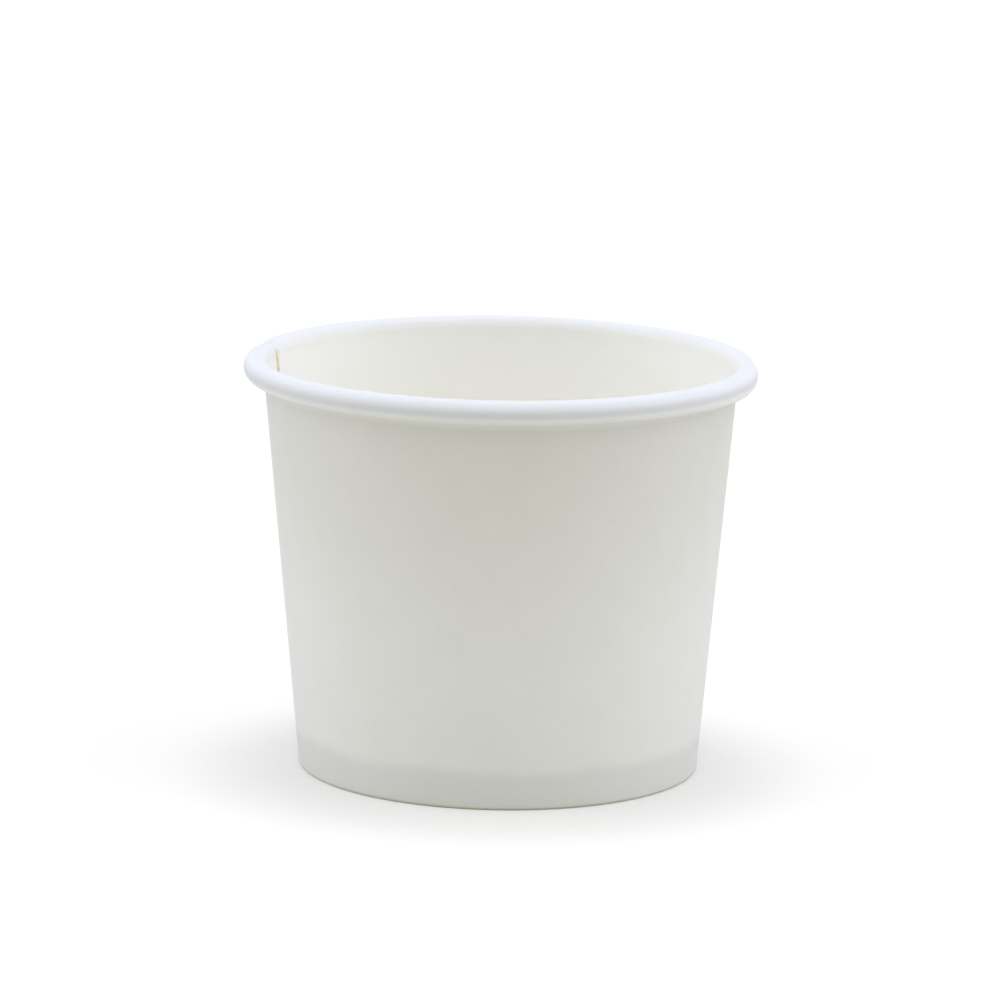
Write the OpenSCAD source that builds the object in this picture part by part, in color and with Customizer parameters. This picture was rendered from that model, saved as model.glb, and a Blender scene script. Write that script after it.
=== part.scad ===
// Paper portion cup
// A side wall of paperboard, wrapped round and glued along one lapped seam, its top edge
// rolled outward into the rim and its bottom edge folded inward as a hem. A paperboard disc,
// with its edge turned down as a skirt, is held between the wall and the hem.
// Origin: centre of the foot, on the table. +Z is up and the camera looks along +Y.

/* [Cup] */
// Width across the rolled rim
rim_d = 66; // [60:0.5:74]
// Height from the table to the top of the rim
cup_h = 53.5; // [40:0.5:80]
// Width across the foot
foot_d = 51.7; // [46:0.1:54]

/* [Board] */
// Thickness of the side wall's paperboard
board = 0.32; // [0.26:0.01:0.4]
// Thickness of the base's paperboard
base_board = 0.3; // [0.24:0.01:0.4]
// Gap between two plies that are sealed together
seal = 0.02; // [0.01:0.01:0.05]

/* [Rim] */
// Thickness of the rolled rim
curl_d = 3.1; // [2.6:0.1:3.8]
// How far the board turns on inside the roll, in degrees
tuck_turn = 120; // [90:5:140]
// Gap between the tucked edge and the wall
tuck_gap = 0.05; // [0.03:0.01:0.1]
// Step where the straight board runs into the roll, and the roll into the tuck
roll_step = 0.01; // [0.005:0.005:0.015]

/* [Foot] */
// Height of the hem's free edge
hem_h = 4.7; // [4:0.1:7]
// Outside radius of the hem's two creases
crease_r = 0.37; // [0.34:0.01:0.45]

/* [Base] */
// Height of the base's upper face over the hem's free edge
base_over_hem = 0.6; // [0.4:0.05:2]
// Outside radius of the bend between the disc and its skirt
base_bend = 0.55; // [0.45:0.05:0.9]
// Gap between the skirt's lower edge and the fold of the hem
skirt_gap = 0.1; // [0.05:0.05:0.4]

/* [Seam] */
// Direction of the inner ply's cut edge, in degrees from +X
seam_at = 165; // [0:5:360]
// Width of the lap, measured at the rim
lap_w = 6; // [4:0.5:10]
// Length over which the outer ply climbs on to the inner one
climb_w = 4; // [3:0.5:8]
// Steps in that climb
climb_steps = 6; // [4:1:10]
// How far the two plies of the lap are pressed into each other
press = 0.04; // [0.03:0.01:0.06]
// Height at which the lap starts, above the hem's fold
lap_z = 0.8; // [0.6:0.1:2]

/* [Hidden] */
$fn = 144;
bend_steps = 6;
overlap = 0.05;
bite = 5;
foot_r = foot_d / 2;
curl_r = curl_d / 2;
curl_x = rim_d / 2 - curl_r;
curl_z = cup_h - curl_r;
// The wall leans out so that its inner face runs straight into the roll
reach = norm([curl_x - foot_r, curl_z]);
lean = atan2(curl_x - foot_r, curl_z) - asin((curl_r - board) / reach);
wall_top = (curl_x - foot_r) * sin(lean) + curl_z * cos(lean);
// Across the foot lie the wall, the skirt and the hem
foot_w = 2 * board + base_board + 2 * seal;
base_z = hem_h + base_over_hem;
skirt_out = -board - seal;
lap_rise = board - press;
lap_angle = lap_w / (rim_d / 2 - curl_d) * 180 / PI;
climb_angle = climb_w / (rim_d / 2 - curl_d) * 180 / PI;
step_angle = climb_angle / climb_steps;
wall_color = [0.93, 0.93, 0.9];
base_color = [0.9, 0.9, 0.87];

// A point given by its distance out from the wall's outer face and its length up the wall
function on_wall(out, up) =
    [foot_r + out * cos(lean) + up * sin(lean), up * cos(lean) - out * sin(lean)];
// The point at a given height on a line that runs beside the wall
function at_height(out, z) = on_wall(out, (z + out * sin(lean)) / cos(lean));
// Points along an arc
function arc(c, r, from, to) =
    [for (i = [0:bend_steps]) let (a = from + (to - from) * i / bend_steps)
        c + r * [cos(a), sin(a)]];

// Part of a ring of board in the section, between two angles
module rolled(c, r_out, r_in, from, to) {
    far = 3 * r_out;
    intersection() {
        difference() {
            translate(c) circle(r_out, $fn = 48);
            translate(c) circle(r_in, $fn = 48);
        }
        polygon(concat([c], [for (i = [0:4]) let (a = from + (to - from) * i / 4)
            c + far * [cos(a), sin(a)]]));
    }
}

// The rolled rim in the section; shift moves the board towards the inside of the roll
module curl(shift, tucked) {
    r_out = curl_r - shift - roll_step;
    r_in = curl_r - shift - board + roll_step;
    first_end = tucked ? -90 - bite : -40;
    rolled([curl_x, curl_z], r_out, r_in, first_end, 180 - lean + bite);
    if (tucked) {
        tuck_r = curl_r - shift - board - tuck_gap;
        rolled([curl_x, curl_z - board - tuck_gap], tuck_r - 2 * roll_step,
            tuck_r - board + 2 * roll_step, -90 - tuck_turn, -90 + bite);
    }
}

// The wall's straight stretch from a given height up to the roll
module straight(shift, z) {
    polygon([at_height(shift - board, z), at_height(shift, z),
        on_wall(shift, wall_top), on_wall(shift - board, wall_top)]);
}

// The whole section of the wall, from the rim to the hem's free edge
module wall_section() {
    c_out = at_height(-crease_r, crease_r);
    c_in = at_height(crease_r - foot_w, crease_r);
    inner_r = crease_r - board;
    polygon(concat(
        arc(c_out, crease_r, -90, -lean),
        [on_wall(0, wall_top), on_wall(-board, wall_top)],
        arc(c_out, inner_r, -lean, -90),
        arc(c_in, inner_r, 270, 180 - lean),
        [at_height(board - foot_w, hem_h), at_height(-foot_w, hem_h)],
        arc(c_in, crease_r, 180 - lean, 270)));
    curl(0, true);
}

// The room that the climbing ply takes: the wall and the rim, but not the hem
module climb_room() {
    rotate([0, 0, seam_at]) rotate_extrude(angle = climb_angle)
        polygon([at_height(-board - seal, lap_z), [rim_d, lap_z],
            [rim_d, 2 * cup_h], at_height(-board - seal, 2 * cup_h)]);
}

// One step of the climb, raised off the wall by shift
module climb_step(shift, from, to, tucked) {
    rotate([0, 0, from]) rotate_extrude(angle = to - from) {
        straight(shift, lap_z - overlap);
        curl(shift, tucked);
    }
}

// The wrapped wall with its seam, its rolled rim and its hem
module side_wall() color(wall_color) {
    difference() {
        rotate_extrude() wall_section();
        climb_room();
    }
    for (i = [1:climb_steps - 1])
        climb_step(lap_rise * i / climb_steps,
            seam_at + climb_angle - i * step_angle,
            seam_at + climb_angle - (i - 1) * step_angle + 0.1, true);
    climb_step(lap_rise, seam_at - lap_angle, seam_at + step_angle + 0.1, false);
}

// The disc that closes the cup, with its skirt turned down between the wall and the hem
module base_disc() color(base_color) {
    bend_out = at_height(skirt_out - base_bend, base_z - base_bend);
    inner_r = base_bend - base_board;
    skirt_z = board + skirt_gap;
    rotate_extrude() polygon(concat(
        [[0, base_z - base_board], [0, base_z]],
        arc(bend_out, base_bend, 90, -lean),
        [at_height(skirt_out, skirt_z), at_height(skirt_out - base_board, skirt_z)],
        arc(bend_out, inner_r, -lean, 90)));
}

side_wall();
base_disc();
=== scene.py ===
import math

import bpy
from mathutils import Matrix, Vector


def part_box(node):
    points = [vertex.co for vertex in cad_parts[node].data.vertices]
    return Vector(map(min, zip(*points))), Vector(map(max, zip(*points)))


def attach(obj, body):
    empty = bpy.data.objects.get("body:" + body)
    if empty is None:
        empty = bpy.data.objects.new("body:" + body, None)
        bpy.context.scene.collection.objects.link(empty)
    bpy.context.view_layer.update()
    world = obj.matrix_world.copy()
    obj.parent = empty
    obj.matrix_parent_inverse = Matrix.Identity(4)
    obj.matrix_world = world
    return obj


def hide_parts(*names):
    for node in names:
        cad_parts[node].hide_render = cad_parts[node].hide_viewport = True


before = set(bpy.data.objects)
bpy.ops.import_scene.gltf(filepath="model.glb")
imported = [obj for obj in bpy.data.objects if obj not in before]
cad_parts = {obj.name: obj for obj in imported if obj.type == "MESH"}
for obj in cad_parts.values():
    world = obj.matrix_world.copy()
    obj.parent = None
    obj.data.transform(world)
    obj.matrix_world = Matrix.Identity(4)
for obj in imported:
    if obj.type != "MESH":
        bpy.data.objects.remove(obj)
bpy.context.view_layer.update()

# Sizes, in metres
MM = 0.001
RIM_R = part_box("side_wall")[1].x
CUP_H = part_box("side_wall")[1].z
FOOT_R = 25.85 * MM
BOARD = 0.32 * MM
BASE_BOARD = 0.3 * MM
# Gap between two plies that are sealed together
SEAL = 0.02 * MM

# The rolled rim: half its height and half its width, and the board that turns on inside it
CURL_R = 1.55 * MM
CURL_HALF = 1.4 * MM
TUCK_TURN = 120
TUCK_GAP = 0.05 * MM
# The rim sits a little to one side of the foot, and its roll hangs lower at the right
RIM_DRIFT = -0.5 * MM
DROOP = 0.42 * MM
DROOP_HALF_TURN = 60

# The hem at the foot: its height, the radius of its creases, and how far in it reaches
HEM_H = 4.7 * MM
CREASE_R = 0.37 * MM
HEM_DEPTH = 2 * BOARD + BASE_BOARD + 2 * SEAL
# Ribs round the hem, and the heights between which they rise and die away
RIBS = 90
RIBS_RISE = (0.1 * HEM_H, 0.25 * HEM_H)
RIBS_FALL = (0.8 * HEM_H, HEM_H)

# The base: its level, its bend and the steps in it, the gap under its skirt, and its sides
BASE_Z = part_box("base_disc")[1].z
BASE_BEND = 0.55 * MM
BEND_WIDTH = 0.92 * BASE_BEND
BEND_STEPS = 6
SKIRT_GAP = 0.1 * MM
BASE_SIDES = 180
# Its rings from the edge inwards: how wide each is and how far it sags, in millimetres
BASE_RINGS = ((1, 0.01), (1.5, 0.03), (3, 0.06), (5, 0.08), (6, 0.04))

# The side seam: directions in degrees from +X, and the height at which the lap starts
SEAM_AT = 163.5
CLIMB_ANGLE = 8
LAP_ANGLE = 12
LAP_Z = 0.9 * MM
# Over the top of the roll, down to this depth, the seam's inner edge is pressed in this far
# and keeps this share of its thickness
PRESS_DEPTH = 1.1 * MM
PRESS = 0.3 * MM
PRESSED_THIN = 0.06

# Steps of the turn and of the section's arcs, and the heights of its rows of points
TURN_STEP = 2
TUCK_STEPS = 12
ROLL_STEPS = 36
FOLD_STEPS = 5
WALL_ROWS = [z * MM for z in (46, 40, 32, 24, 16, 10, 6, 4.5, 3, 1.8)]
HEM_ROWS = [z * MM for z in (1.5, 3)]

# How close a point lies to where it is looked for: in degrees, and in metres
NEAR_ANGLE = 0.1
NEAR = 0.01 * MM
NEAR_LEVEL = 0.001 * MM
WELD = 0.002 * MM
# Halfway between the wall and the hem, in from the wall's outer face
HEM_APART = 0.5 * MM
# Shares of the roll's size: the tuck lies within the first and all its board within the
# second, and a point is on its surface if it is no further off it than the third
TUCK_REACH = 0.93
ROLL_REACH = 1.3
ROLL_SKIN = 0.03
# Edges sharper than this are kept, in degrees
SHARP_ANGLE = 50

# Tones of the coated face: a bluish white on the roll, with painted light and shade on it
INSIDE_TOP_SHADE = (0.908, 0.908, 0.918)
INSIDE_WHITE = (0.937, 0.937, 0.945)
DEEP_PAINTED_LIGHT = (0.962, 0.962, 0.955)
RIM_TOP = (0.79, 0.813, 0.905)
RIM_INNER = (0.842, 0.864, 0.94)
RIM_HIGHLIGHT = (0.818, 0.85, 0.95)
RIM_SIDE_SHADE = (0.725, 0.735, 0.78)
RIM_UNDER_LIGHT = (0.94, 0.94, 0.92)
# Where they lie, by the direction from the middle of the roll, in degrees: a painted highlight
# on the upper front, painted shade on the outer side, painted light underneath, and painted
# shade on the inside just under the roll
ROLL_LIGHT_AND_SHADE = (
    (-180, INSIDE_TOP_SHADE), (-120, INSIDE_WHITE), (-94, INSIDE_WHITE),
    (-80, RIM_UNDER_LIGHT), (-42, RIM_UNDER_LIGHT), (-5, RIM_SIDE_SHADE), (40, RIM_HIGHLIGHT), (60, RIM_HIGHLIGHT),
    (90, RIM_TOP), (142, RIM_INNER), (163, INSIDE_TOP_SHADE))
# Below the roll the inside is painted paler, as painted light, and it is palest from this height
# down
DEEP_TOP = 43 * MM

# Tones of the plain face, and the heights between which one goes over into the next; the wall is
# painted darker and warmer towards the top as painted shade
WALL_LOW = (0.848, 0.85, 0.846)
WALL_HIGH_SHADE = (0.765, 0.76, 0.735)
WALL_FADE = (15 * MM, 46 * MM)
# Painted light: a paler strip right under the roll
UNDER_ROLL_LIGHT = (0.95, 0.94, 0.86)
STRIP_FADE = (CUP_H - 2 * CURL_R - 1.3 * MM, CUP_H - 2 * CURL_R)
# Painted shade: the hem band is greyer and darker, as its three plies let less light through
BAND_SHADE = (0.762, 0.765, 0.772)
BAND_FADE = (HEM_H - 0.9 * MM, BASE_Z + 0.6 * MM)
FOLD_BROWN = (0.6, 0.53, 0.41)
# At the fold the brown is partly a tint and partly painted contact shade
FOLD_FADE = (0.1 * MM, 0.5 * MM)
FOLD_SHARE = 0.8
# The band's upper edge goes up and down by this much, in waves of this length
BAND_WAVE = 0.2 * MM
WAVE_LENGTH = 7 * MM
# Specks in the pulp: how far apart, their size as a share of that, and how dark
SPECKS_APART = 7 * MM
SPECK_FADE = (0.035, 0.06)
SPECK_SHARE = 0.07

# The cut edge: two tones of its fibres, and the tone where it is pressed into the roll
FIBRE_TAN = (0.8, 0.73, 0.53)
FIBRE_PALE = [1.15 * c for c in FIBRE_TAN]
PRESSED_EDGE = (0.88, 0.87, 0.87)
PRESSED_FADE = (CUP_H - 2.2 * MM, CUP_H - 1.2 * MM)

# Surface of the board: sizes and depths of its patches and grain
NOISE_RANGE = (0.3, 0.7)
CLOUD = 5 * MM
FINE_CLOUD = 0.7 * MM
FINE_SHARE = 0.35
COATED_CLOUDS = 0.015
PLAIN_CLOUDS = 0.022
COATED_PATCH = 1.6 * MM
COATED_ROUGHNESS = (0.4, 0.52)
COATED_SPECULAR = 0.25
COATED_GRAIN = 0.5 * MM
COATED_GRAIN_SHARE = 0.3
COATED_DEPTH = 0.03 * MM
PLAIN_PATCH = 1.1 * MM
PLAIN_ROUGHNESS = (0.52, 0.66)
PLAIN_GRAIN = 0.35 * MM
PLAIN_DEPTH = 0.012 * MM
CUT_ROUGHNESS = 0.85
CUT_GRAIN = 0.12 * MM
CUT_DEPTH = 0.02 * MM
CUT_RANGE = (0.35, 0.65)
# Fibres run upwards, so their pattern is drawn out in height by these shares
PLAIN_FIBRES = (1, 1, 0.45)
CUT_FIBRES = (1, 1, 0.15)

# Light: how strong the white sky is at its two sides, overhead, and in front and behind
SIDE_LIGHT = 2.1
TOP_LIGHT = 1.65
DEPTH_LIGHT = 0.05
# How much stronger it is at the right than in the middle, and weaker at the left
RIGHT_EXTRA = 0.04
# The warm lamp in front, in watts and metres
FRONT_POWER = 1.3
FRONT_COLOUR = (1, 0.97, 0.2)
FRONT_PLACE = (0, -1.3, 0.5)
FRONT_SIZE = 0.6
# The table: its own colour, and how much whiter it shows near the cup and further out; the
# lesser glow near the cup paints a deeper shadow round its foot
TABLE_SIZE = 6
TABLE_WHITE = (0.6, 0.6, 0.612)
LIFT_NEAR = 0.265
LIFT_FAR = 0.395
LIFT_END = 46 * MM
# The painted shadow reaches further in front of the cup
LIFT_CENTRE = (0, -5 * MM, 0)

# The camera: degrees above the table, degrees turned about its own axis, how many rim radii
# away, its lens in millimetres, and how far the view is shifted
CAMERA_UP = 11.96
CAMERA_TURN = 1.03
CAMERA_AWAY = 22.66
CAMERA_LENS = 208.2
CAMERA_SHIFT = (0.0007, 0.0602)

# The wall leans out so that its inner face runs straight into the roll
curl_x, curl_z = RIM_R - CURL_HALF, CUP_H - CURL_R
LEAN = math.atan2(curl_x - FOOT_R, curl_z) - math.asin(
    (CURL_HALF - BOARD) / math.hypot(curl_x - FOOT_R, curl_z))


# Section of the wall
def on_wall(out, height):
    """Radius and height of a point in the section, given its distance out from the wall."""
    up = (height + out * math.sin(LEAN)) / math.cos(LEAN)
    return FOOT_R + out * math.cos(LEAN) + up * math.sin(LEAN), height


def arc(centre, radius, start, end, steps, squeeze=0):
    """Points along an arc of the section, made narrower by squeeze; angles in degrees."""
    angles = [math.radians(start + (end - start) * i / steps) for i in range(steps + 1)]
    return [(centre[0] + (radius - squeeze) * math.cos(a), centre[1] + radius * math.sin(a))
            for a in angles]


def coated_face():
    """The board's coated face in the section, from the tucked edge to the hem's free edge."""
    lean = math.degrees(LEAN)
    squeeze = CURL_R - CURL_HALF
    tuck_r = CURL_R - BOARD - TUCK_GAP
    tuck_centre = (curl_x, CUP_H - 2 * CURL_R + tuck_r)
    tuck = arc(tuck_centre, tuck_r, -90 - TUCK_TURN, -90, TUCK_STEPS, squeeze)
    roll = arc((curl_x, curl_z), CURL_R, -90, 180 - lean, ROLL_STEPS, squeeze)
    inner_r = CREASE_R - BOARD
    fold_out = arc(on_wall(-CREASE_R, CREASE_R), inner_r, -lean, -90, FOLD_STEPS)
    fold_in = arc(on_wall(CREASE_R - HEM_DEPTH, CREASE_R), inner_r, 270, 180 - lean, FOLD_STEPS)
    wall = [on_wall(-BOARD, z) for z in (*WALL_ROWS, LAP_Z)]
    hem = [on_wall(BOARD - HEM_DEPTH, z) for z in (*HEM_ROWS, HEM_H)]
    return tuck + roll[1:] + wall + fold_out + fold_in + hem


# Helpers for shaping by hand
def start_vertex(name):
    """A new object in edit mode that holds one vertex."""
    bpy.ops.object.select_all(action="DESELECT")
    bpy.ops.mesh.primitive_plane_add(size=MM)
    bpy.context.object.name = name
    bpy.ops.object.mode_set(mode="EDIT")
    bpy.ops.mesh.select_mode(type="VERT")
    bpy.ops.mesh.merge(type="CENTER")
    return bpy.context.object


def choose(indices, faces=False):
    """Selects points or faces in edit mode by their numbers, and nothing else."""
    bpy.ops.object.mode_set(mode="EDIT")
    bpy.ops.mesh.select_mode(type="FACE" if faces else "VERT")
    bpy.ops.mesh.select_all(action="DESELECT")
    bpy.ops.object.mode_set(mode="OBJECT")
    mesh = bpy.context.object.data
    items = mesh.polygons if faces else mesh.vertices
    for index in indices:
        items[index].select = True
    bpy.ops.object.mode_set(mode="EDIT")


def chosen():
    """The numbers of the selected points."""
    bpy.context.object.update_from_editmode()
    return [v.index for v in bpy.context.object.data.vertices if v.select]


def select(test, faces=False, within=None):
    """Selects in edit mode what passes a test of its place, all over or among given points."""
    bpy.context.object.update_from_editmode()
    mesh = bpy.context.object.data
    if faces:
        choose([f.index for f in mesh.polygons if test(f.center)], faces=True)
    else:
        choose([v.index for v in mesh.vertices
                if (within is None or v.index in within) and test(v.co)])


def spin(degrees, steps):
    """Turns the selected edge about the cup's axis, towards the back."""
    bpy.ops.mesh.spin(steps=steps, angle=math.radians(degrees), center=(0, 0, 0), axis=(0, 0, 1))


# Where a point of the cup lies
def behind_seam(co):
    """Degrees from the seam's inner edge to a point, going round by the back."""
    return (SEAM_AT - math.degrees(math.atan2(co.y, co.x))) % 360


def at_seam(co):
    """True on the seam's inner edge, and a tiny way to either side of it."""
    return (behind_seam(co) + NEAR_ANGLE) % 360 < 2 * NEAR_ANGLE


def off_wall(co):
    """Distance of a point out from the wall's outer face."""
    return (math.hypot(co.x, co.y) - FOOT_R) * math.cos(LEAN) - co.z * math.sin(LEAN)


def is_upper(co):
    """True above the fold, on the wall or the rim, and false on the hem."""
    return co.z > LAP_Z - NEAR and (off_wall(co) > -HEM_APART or co.z > BASE_Z)


def from_roll(co):
    """Distance from the middle of the roll, as a share of its size: 1 on its surface."""
    return math.hypot((math.hypot(co.x, co.y) - curl_x) / CURL_HALF, (co.z - curl_z) / CURL_R)


def is_tuck(co):
    """True inside the roll, where the lap fills it."""
    return co.z > CUP_H / 2 and from_roll(co) < TUCK_REACH and behind_seam(co) < LAP_ANGLE


def on_roll(co):
    """True on the roll's surface."""
    return abs(from_roll(co) - 1) < ROLL_SKIN


def in_roll(co):
    """True on the roll's surface and inside it."""
    return co.z > CUP_H - 3 * CURL_R and from_roll(co) < ROLL_REACH


# Materials
def new_board(name):
    """An empty board material, with its node tree and its shader."""
    material = bpy.data.materials.new(name)
    material.use_nodes = True
    return material, material.node_tree, material.node_tree.nodes["Principled BSDF"]


def add_node(tree, kind, values, **settings):
    """Adds a node; its values are numbers, colours or other nodes' outputs."""
    node = tree.nodes.new("ShaderNode" + kind)
    for name, setting in settings.items():
        setattr(node, name, setting)
    for socket, value in values.items():
        if isinstance(value, bpy.types.NodeSocket):
            tree.links.new(value, node.inputs[socket])
        else:
            node.inputs[socket].default_value = value
    return node


def calculate(tree, operation, first, second=0):
    """One sum with numbers."""
    return add_node(tree, "Math", {0: first, 1: second}, operation=operation).outputs[0]


def combine(tree, operation, first, second=(0, 0, 0), result="Vector"):
    """One sum with vectors; its result is a vector, or a number where that is called Value."""
    node = add_node(tree, "VectorMath", {0: first, 1: second}, operation=operation)
    return node.outputs[result]


def find_place(tree):
    """Where a point lies on the cup: its vector, and that vector's three parts."""
    spot = add_node(tree, "TexCoord", {}).outputs["Object"]
    return spot, add_node(tree, "SeparateXYZ", {0: spot}).outputs


def fade(tree, value, low, high, first=0, last=1, how="SMOOTHSTEP"):
    """Goes from the first number to the last as a value goes from low to high."""
    values = {"Value": value, "From Min": low, "From Max": high, "To Min": first, "To Max": last}
    return add_node(tree, "MapRange", values, interpolation_type=how).outputs[0]


def grain(tree, spot, size, detail=3):
    """Noise whose patches are about a given size."""
    values = {"Vector": spot, "Scale": 1 / size, "Detail": detail}
    return add_node(tree, "TexNoise", values).outputs[0]


def blend(tree, amount, under, over, how="MIX"):
    """Lays one colour over another by an amount from 0 to 1."""
    mix = add_node(tree, "Mix", {0: amount}, data_type="RGBA", blend_type=how)
    for socket, value in ((6, under), (7, over)):
        if isinstance(value, bpy.types.NodeSocket):
            tree.links.new(value, mix.inputs[socket])
        else:
            mix.inputs[socket].default_value = (*value, 1)
    return mix.outputs[2]


def cloudy(tree, spot, colour, depth):
    """The uneven look of paper held to the light: broad patches, with finer ones on them."""
    broad = calculate(tree, "MULTIPLY", grain(tree, spot, CLOUD, detail=4), 1 - FINE_SHARE)
    fine = calculate(tree, "MULTIPLY", grain(tree, spot, FINE_CLOUD, detail=2), FINE_SHARE)
    shade = fade(tree, calculate(tree, "ADD", broad, fine), *NOISE_RANGE, 1 - depth, 1)
    grey = add_node(tree, "CombineXYZ", {0: shade, 1: shade, 2: shade}).outputs[0]
    return blend(tree, 1.0, colour, grey, "MULTIPLY")


def patchy_gloss(tree, shader, spot, size, roughness):
    """Patches of a given size that go from the first roughness to the second."""
    patches = fade(tree, grain(tree, spot, size), *NOISE_RANGE, *roughness)
    tree.links.new(patches, shader.inputs["Roughness"])


def relief(tree, shader, height, depth):
    """Small bumps on the surface, with their depth in metres."""
    bump = add_node(tree, "Bump", {"Height": height, "Distance": depth})
    tree.links.new(bump.outputs[0], shader.inputs["Normal"])


def light_and_shade_round_roll(tree, parts):
    """The coated face's bluish tint with painted light and shade, by the direction from the
    middle of the roll.
    """
    flat = add_node(tree, "CombineXYZ", {0: parts["X"], 1: parts["Y"]}).outputs[0]
    across = calculate(tree, "SUBTRACT", combine(tree, "LENGTH", flat, result="Value"), curl_x)
    turn = calculate(tree, "ARCTAN2", calculate(tree, "SUBTRACT", parts["Z"], curl_z), across)
    part = fade(tree, turn, -math.pi, math.pi, how="LINEAR")
    node = add_node(tree, "ValToRGB", {0: part})
    ramp = node.color_ramp
    ramp.interpolation = "EASE"
    ramp.elements.remove(ramp.elements[0])
    ramp.elements[0].position = 0
    ramp.elements[0].color = (*ROLL_LIGHT_AND_SHADE[0][1], 1)
    for angle, tone in ROLL_LIGHT_AND_SHADE[1:]:
        ramp.elements.new((angle + 180) / 360).color = (*tone, 1)
    return node.outputs[0]


def make_coated_board():
    """The glossy side: the inside of the cup, the rolled rim and the hem's inner face."""
    material, tree, shader = new_board("coated_board")
    spot, parts = find_place(tree)
    # Painted light: the inside is painted paler further down
    deep = fade(tree, parts["Z"], DEEP_TOP, CUP_H - 2 * CURL_R, 1, 0)
    tone = blend(tree, deep, light_and_shade_round_roll(tree, parts), DEEP_PAINTED_LIGHT)
    tone = cloudy(tree, spot, tone, COATED_CLOUDS)
    tree.links.new(tone, shader.inputs["Base Color"])
    shader.inputs["Specular IOR Level"].default_value = COATED_SPECULAR
    patchy_gloss(tree, shader, spot, COATED_PATCH, COATED_ROUGHNESS)
    # Ribs that the closing tool presses into the hem's inner face
    round_cup = calculate(tree, "ARCTAN2", parts["Y"], parts["X"])
    ribs = calculate(tree, "SINE", calculate(tree, "MULTIPLY", round_cup, RIBS))
    rise = fade(tree, parts["Z"], *RIBS_RISE)
    in_hem = calculate(tree, "MULTIPLY", fade(tree, parts["Z"], *RIBS_FALL, 1, 0), rise)
    ribs = calculate(tree, "MULTIPLY", ribs, in_hem)
    fine = calculate(tree, "MULTIPLY", grain(tree, spot, COATED_GRAIN), COATED_GRAIN_SHARE)
    relief(tree, shader, calculate(tree, "ADD", ribs, fine), COATED_DEPTH)
    return material


def make_plain_board():
    """The matt side: the outside of the cup, and the underside of the base."""
    material, tree, shader = new_board("plain_board")
    spot, parts = find_place(tree)
    height = parts["Z"]
    # Painted shade: the wall darker and warmer towards the rim
    tone = blend(tree, fade(tree, height, *WALL_FADE), WALL_LOW, WALL_HIGH_SHADE)
    # Painted light: a paler strip right under the roll
    tone = blend(tree, fade(tree, height, *STRIP_FADE), tone, UNDER_ROLL_LIGHT)
    # The band low on the wall, where three plies lie on each other, painted greyer and darker as
    # shade where less light comes through the board
    wave = grain(tree, spot, WAVE_LENGTH, detail=1)
    wave = fade(tree, wave, *NOISE_RANGE, -BAND_WAVE, BAND_WAVE)
    in_band = fade(tree, calculate(tree, "ADD", height, wave), *BAND_FADE, 1, 0)
    tone = blend(tree, in_band, tone, BAND_SHADE)
    # The fold at the foot is painted brown and darker: partly a brown tint, partly painted
    # contact shade
    fold_tint_and_shade = fade(tree, height, *FOLD_FADE, FOLD_SHARE, 0)
    tone = blend(tree, fold_tint_and_shade, tone, FOLD_BROWN)
    # Scattered specks in the pulp
    specks = add_node(tree, "TexVoronoi", {"Vector": spot, "Scale": 1 / SPECKS_APART})
    speck = fade(tree, specks.outputs["Distance"], *SPECK_FADE, SPECK_SHARE, 0)
    tone = blend(tree, speck, tone, FOLD_BROWN)
    tone = cloudy(tree, spot, tone, PLAIN_CLOUDS)
    tree.links.new(tone, shader.inputs["Base Color"])
    patchy_gloss(tree, shader, spot, PLAIN_PATCH, PLAIN_ROUGHNESS)
    fibres = combine(tree, "MULTIPLY", spot, PLAIN_FIBRES)
    relief(tree, shader, grain(tree, fibres, PLAIN_GRAIN, detail=5), PLAIN_DEPTH)
    return material


def make_cut_edge():
    """The bare pulp where the blank was cut, pressed pale where the seam runs over the roll."""
    material, tree, shader = new_board("cut_edge")
    shader.inputs["Roughness"].default_value = CUT_ROUGHNESS
    spot, parts = find_place(tree)
    streaks = combine(tree, "MULTIPLY", spot, CUT_FIBRES)
    fibres = grain(tree, streaks, CUT_GRAIN, detail=4)
    tone = blend(tree, fade(tree, fibres, *CUT_RANGE), FIBRE_TAN, FIBRE_PALE)
    tone = blend(tree, fade(tree, parts["Z"], *PRESSED_FADE), tone, PRESSED_EDGE)
    tree.links.new(tone, shader.inputs["Base Color"])
    relief(tree, shader, fibres, CUT_DEPTH)
    return material


coated_board = make_coated_board()
plain_board = make_plain_board()
cut_edge = make_cut_edge()


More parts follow.
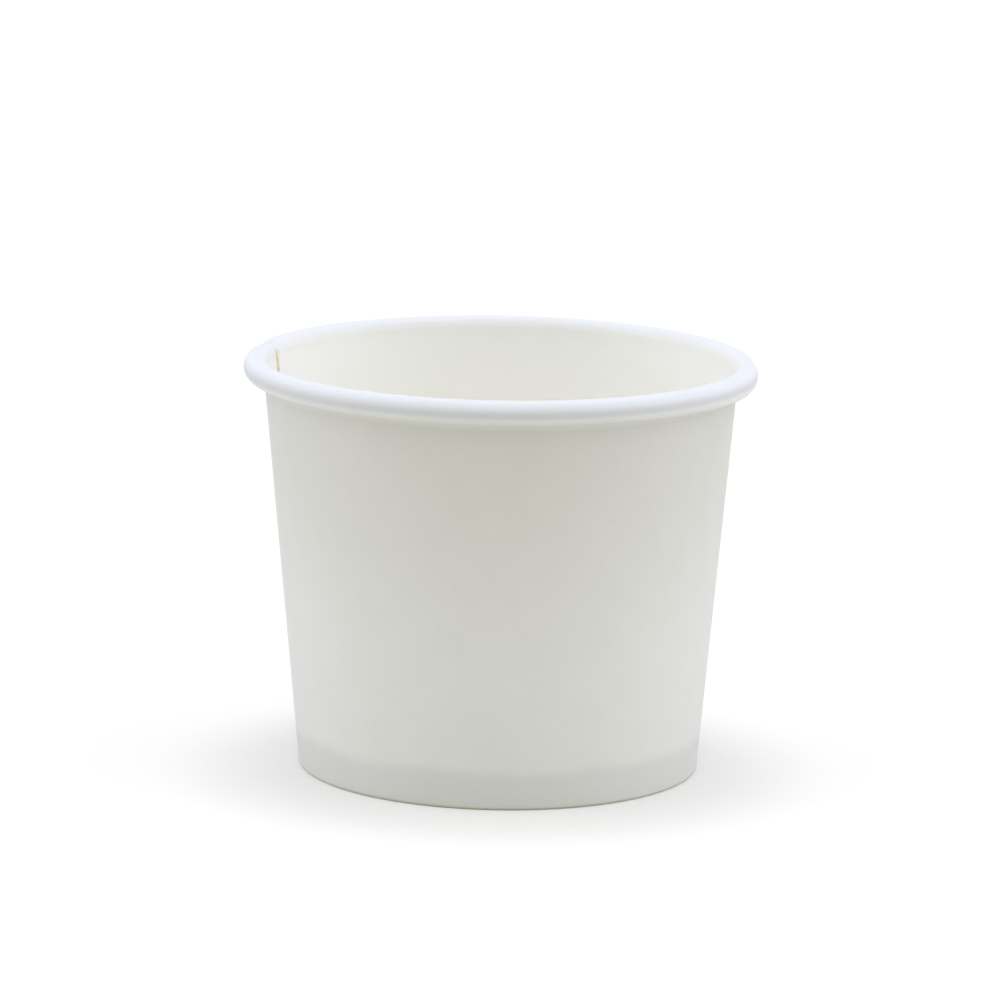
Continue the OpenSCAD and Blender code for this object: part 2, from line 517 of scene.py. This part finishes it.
# Pieces
def build_wall():
    """One blank of board: rolled at the top, folded at the foot, and wrapped with a lap."""
    wall = start_vertex("wrapped_wall")
    seam = math.radians(SEAM_AT)
    points = [Vector((r * math.cos(seam), r * math.sin(seam), z)) for r, z in coated_face()]
    bpy.ops.transform.translate(value=points[0])
    for here, there in zip(points, points[1:]):
        bpy.ops.mesh.extrude_region_move(TRANSFORM_OT_translate={"value": there - here})
    bpy.ops.mesh.select_all(action="SELECT")
    plain = 360 - CLIMB_ANGLE
    spin(plain, plain // TURN_STEP)
    # The tucked edge is cut away where the lap fills the roll
    select(is_tuck, faces=True)
    bpy.ops.mesh.delete(type="FACE")
    select(lambda co: abs(behind_seam(co) - plain) < NEAR_ANGLE)
    # The board climbs on to the part that is already there
    for step in range(CLIMB_ANGLE):
        spin(1, 1)
        column = chosen()
        select(is_upper, within=column)
        rise = [BOARD * (1 - math.cos(math.pi * s / CLIMB_ANGLE)) / 2 for s in (step, step + 1)]
        bpy.ops.transform.shrink_fatten(value=rise[0] - rise[1])
        choose(column)
    select(is_upper, within=column)
    spin(LAP_ANGLE, LAP_ANGLE // TURN_STEP)
    # The foot is one closed ring
    select(lambda co: not is_upper(co))
    bpy.ops.mesh.remove_doubles(threshold=WELD)
    bpy.ops.mesh.select_all(action="SELECT")
    bpy.ops.mesh.normals_make_consistent(inside=False)
    press_seam()
    droop_roll()
    thicken(wall, BOARD)
    return wall


def press_seam():
    """Presses the cut edge of the inner ply into the top of the roll."""
    bpy.ops.mesh.select_all(action="DESELECT")
    bpy.ops.mesh.select_non_manifold(extend=False)
    select(lambda co: on_roll(co) and co.z > CUP_H - PRESS_DEPTH and at_seam(co),
           within=chosen())
    bpy.ops.transform.shrink_fatten(value=-PRESS)
    bpy.ops.object.vertex_group_assign_new()


def droop_roll():
    """Draws the roll down from its top, a little at a time and ever nearer to the right end."""
    steps = DROOP_HALF_TURN // (2 * TURN_STEP)
    stretch = (1 + DROOP / (2 * CURL_R)) ** (1 / steps)
    for step in range(steps):
        reach = DROOP_HALF_TURN - 2 * TURN_STEP * step
        select(lambda co: in_roll(co) and abs(math.degrees(math.atan2(co.y, co.x))) < reach)
        bpy.ops.transform.resize(value=(1, 1, stretch), center_override=(0, 0, CUP_H))


def build_base():
    """A disc of board with its edge turned down as a skirt."""
    bpy.ops.object.select_all(action="DESELECT")
    edge_r = on_wall(-BOARD - SEAL, BASE_Z)[0]
    bpy.ops.mesh.primitive_circle_add(
        vertices=BASE_SIDES, radius=edge_r, fill_type="NGON", location=(0, 0, BASE_Z))
    base = bpy.context.object
    base.name = "base_cup"
    bpy.ops.object.transform_apply(location=True)
    bpy.ops.object.mode_set(mode="EDIT")
    # The skirt is drawn down along the wall
    select(lambda co: True)
    bpy.ops.mesh.select_mode(type="EDGE")
    bpy.ops.mesh.region_to_loop()
    for height in (BASE_Z / 2, BOARD + SKIRT_GAP):
        here = base.data.vertices[chosen()[0]].co.copy()
        scale = on_wall(-BOARD - SEAL, height)[0] / math.hypot(here.x, here.y)
        down = (0, 0, height - here.z)
        bpy.ops.mesh.extrude_edges_move(TRANSFORM_OT_translate={"value": down})
        bpy.ops.transform.resize(value=(scale, scale, 1), center_override=(0, 0, height))
    # Its bend is rounded
    select(lambda co: abs(co.z - BASE_Z) < NEAR)
    bpy.ops.mesh.select_mode(type="EDGE")
    bpy.ops.mesh.region_to_loop()
    bpy.ops.mesh.bevel(offset=BEND_WIDTH, segments=BEND_STEPS, affect="EDGES")
    # Rings on the disc, which sags a little towards its middle
    select(lambda co: co.z > BASE_Z - NEAR_LEVEL, faces=True)
    for inset, sag in BASE_RINGS:
        bpy.ops.mesh.inset(thickness=inset * MM)
        bpy.ops.transform.translate(value=(0, 0, -sag * MM))
    bpy.ops.mesh.poke()
    bpy.ops.mesh.select_all(action="SELECT")
    bpy.ops.mesh.normals_make_consistent(inside=False)
    thicken(base, BASE_BOARD)
    return base


def thicken(piece, board):
    """Gives a sheet of coated board its thickness, with the plain face and the cut edges."""
    bpy.ops.object.mode_set(mode="OBJECT")
    for material in (coated_board, plain_board, cut_edge):
        piece.data.materials.append(material)
    sheet = piece.modifiers.new("board", "SOLIDIFY")
    sheet.thickness = board
    sheet.offset = -1
    sheet.material_offset = 1
    sheet.material_offset_rim = 2
    if piece.vertex_groups:
        sheet.vertex_group = piece.vertex_groups[0].name
        sheet.invert_vertex_group = True
        sheet.thickness_vertex_group = PRESSED_THIN
    bpy.ops.object.modifier_apply(modifier=sheet.name)
    bpy.ops.object.shade_smooth_by_angle(angle=math.radians(SHARP_ANGLE))


def lean_over(piece):
    """Leans a piece in a lattice cage, so that the rim sits to one side of the foot."""
    bpy.ops.object.select_all(action="DESELECT")
    bpy.ops.object.add(type="LATTICE", location=(0, 0, CUP_H / 2))
    cage = bpy.context.object
    cage.scale = (3 * RIM_R, 3 * RIM_R, CUP_H)
    cage.data.interpolation_type_w = "KEY_LINEAR"
    for point in cage.data.points:
        point.co_deform.x += math.copysign(1, point.co.z) * RIM_DRIFT / 2 / cage.scale.x
    bpy.ops.object.select_all(action="DESELECT")
    bpy.context.view_layer.objects.active = piece
    piece.select_set(True)
    bend = piece.modifiers.new("lean", "LATTICE")
    bend.object = cage
    bpy.ops.object.modifier_apply(modifier=bend.name)
    bpy.data.objects.remove(cage)


def finish_piece(piece, node):
    """Leans a finished piece over and puts it in the place of its node."""
    lean_over(piece)
    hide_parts(node)
    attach(piece, "root")


wall = build_wall()
finish_piece(wall, "side_wall")
base = build_base()
finish_piece(base, "base_disc")


# Studio
def place_camera():
    """Looks along +Y from the photograph's height, a little turned about its own axis."""
    data = bpy.data.cameras.new("camera")
    data.sensor_width = 36
    data.lens = CAMERA_LENS
    data.shift_x, data.shift_y = CAMERA_SHIFT
    data.clip_start = 0.05
    data.clip_end = 20
    camera = bpy.data.objects.new("camera", data)
    bpy.context.scene.collection.objects.link(camera)
    up = math.radians(CAMERA_UP)
    away = Vector((0, -math.cos(up), math.sin(up))) * CAMERA_AWAY * RIM_R
    tilt = Matrix.Rotation(math.radians(90) - up, 4, "X")
    turn = Matrix.Rotation(math.radians(CAMERA_TURN), 4, "Z")
    camera.matrix_world = Matrix.Translation(Vector((0, 0, CUP_H / 2)) + away) @ tilt @ turn
    bpy.context.scene.camera = camera


def hang_front_lamp():
    """A soft square lamp in front that faces the middle of the cup."""
    data = bpy.data.lights.new("front_box", "AREA")
    data.shape = "RECTANGLE"
    data.size = data.size_y = FRONT_SIZE
    data.energy = FRONT_POWER
    data.color = FRONT_COLOUR
    lamp = bpy.data.objects.new("front_box", data)
    bpy.context.scene.collection.objects.link(lamp)
    lamp.location = FRONT_PLACE
    aim = Vector((0, 0, CUP_H / 2)) - Vector(FRONT_PLACE)
    lamp.rotation_euler = aim.to_track_quat("-Z", "Y").to_euler()
    lamp.visible_camera = False


def seen_directly(tree):
    """1 for rays from the camera, from gloss and through glass, and 0 for those that light."""
    path = add_node(tree, "LightPath", {}).outputs
    seen = calculate(tree, "MAXIMUM", path["Is Camera Ray"], path["Is Glossy Ray"])
    return calculate(tree, "MAXIMUM", seen, path["Is Transmission Ray"])


def light_sky():
    """A white sky that is bright at the two sides and overhead, and white where it is seen."""
    world = bpy.data.worlds.new("studio")
    bpy.context.scene.world = world
    world.use_nodes = True
    tree = world.node_tree
    sky = tree.nodes["Background"]
    sky.inputs["Color"].default_value = (1, 1, 1, 1)
    towards = add_node(tree, "TexCoord", {}).outputs["Generated"]
    squared = combine(tree, "MULTIPLY", towards, towards)
    fourth = combine(tree, "MULTIPLY", squared, squared)
    light = 0
    for shape, weights in ((fourth, (SIDE_LIGHT, 0, 0)), (squared, (0, DEPTH_LIGHT, TOP_LIGHT)),
                           (towards, (RIGHT_EXTRA, 0, 0))):
        part = combine(tree, "DOT_PRODUCT", shape, weights, "Value")
        light = calculate(tree, "ADD", light, part)
    strength = add_node(tree, "Mix", {0: seen_directly(tree), 2: light, 3: 1})
    tree.links.new(strength.outputs[0], sky.inputs["Strength"])


def lay_floor():
    """A white table that keeps the cup's shadow and runs to white."""
    bpy.ops.object.select_all(action="DESELECT")
    bpy.ops.mesh.primitive_plane_add(size=TABLE_SIZE)
    floor = bpy.context.object
    floor.name = "floor"
    material, tree, shader = new_board("white_table")
    tree.nodes.remove(shader)
    paint = add_node(tree, "BsdfDiffuse", {"Color": (*TABLE_WHITE, 1)})
    # The camera sees it a little whiter than it is, and whiter still away from the cup; the
    # lesser glow near the cup is a painted shadow
    spot = add_node(tree, "TexCoord", {}).outputs["Object"]
    distance = combine(tree, "DISTANCE", spot, LIFT_CENTRE, "Value")
    lift = fade(tree, distance, FOOT_R, LIFT_END, LIFT_NEAR, LIFT_FAR)
    shown = calculate(tree, "MULTIPLY", seen_directly(tree), lift)
    glow = add_node(tree, "Emission", {"Strength": shown})
    both = add_node(tree, "AddShader", {0: paint.outputs[0], 1: glow.outputs[0]})
    tree.links.new(both.outputs[0], tree.nodes["Material Output"].inputs["Surface"])
    floor.data.materials.append(material)


place_camera()
hang_front_lamp()
light_sky()
lay_floor()
bpy.context.scene.view_settings.view_transform = "Standard"
